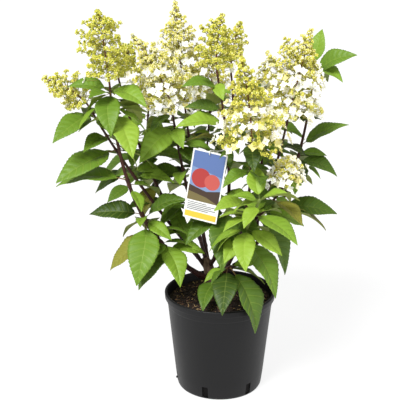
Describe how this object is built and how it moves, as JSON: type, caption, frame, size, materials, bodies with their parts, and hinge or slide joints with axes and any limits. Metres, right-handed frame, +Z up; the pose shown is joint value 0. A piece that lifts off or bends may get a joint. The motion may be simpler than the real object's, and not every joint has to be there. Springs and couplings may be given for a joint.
{
  "type": "potted panicle hydrangea",
  "caption": "Leafy flowering shrub in a black nursery pot: woody crown, slender stems, pointed leaves and cone-shaped flower heads, with a blank-worded plant label on a tie.",
  "frame": {"origin": "centre of the pot's flat underside", "axes": "+Z up along the pot's axis; -Y towards the front of the plant, which carries the label; +X to its right as seen from the front"},
  "size_m": [0.5957, 0.4963, 0.7741],
  "materials": {
    "pot": "moulded black polypropylene, satin, lightly scuffed",
    "soil": "dark peat compost with bark crumbs",
    "bark": "rough grey-brown old bark",
    "stem": "smooth dark red-brown young bark with pale lenticels",
    "leaf": "matt green leaf blade with sunk veins, red-brown twig",
    "flower": "lime-yellow buds and cream-white petals",
    "label": "thin printed plastic card, satin",
    "tie": "white plastic tie"
  },
  "bodies": {
    "root": {"crown": "bark", "flower_back_left": "flower", "flower_back_middle": "flower", "flower_far_left": "flower", "flower_front": "flower", "flower_front_right": "flower", "flower_inner_left": "flower", "flower_middle": "flower", "flower_rear_left": "flower", "flower_rear_middle": "flower", "flower_rear_right": "flower", "flower_right": "flower", "flower_tall_back": "flower", "flower_tall_left": "flower", "label": "label", "label_tie": "tie", "leaves_back_left": "leaf", "leaves_back_middle": "leaf", "leaves_far_left": "leaf", "leaves_far_right": "leaf", "leaves_front": "leaf", "leaves_front_right": "leaf", "leaves_front_young": "leaf", "leaves_inner_left": "leaf", "leaves_low_front": "leaf", "leaves_middle": "leaf", "leaves_rear_left": "leaf", "leaves_rear_middle": "leaf", "leaves_rear_right": "leaf", "leaves_right": "leaf", "leaves_tall_back": "leaf", "leaves_tall_left": "leaf", "pot": "pot", "soil": "soil", "stem_back_left": "stem", "stem_back_middle": "stem", "stem_far_left": "stem", "stem_far_right": "stem", "stem_front": "stem", "stem_inner_left": "stem", "stem_middle": "stem", "stem_rear_left": "stem", "stem_rear_middle": "stem", "stem_rear_right": "stem", "stem_right": "stem", "stem_tall_back": "stem", "stem_tall_left": "stem"}
  },
  "joints": []
}
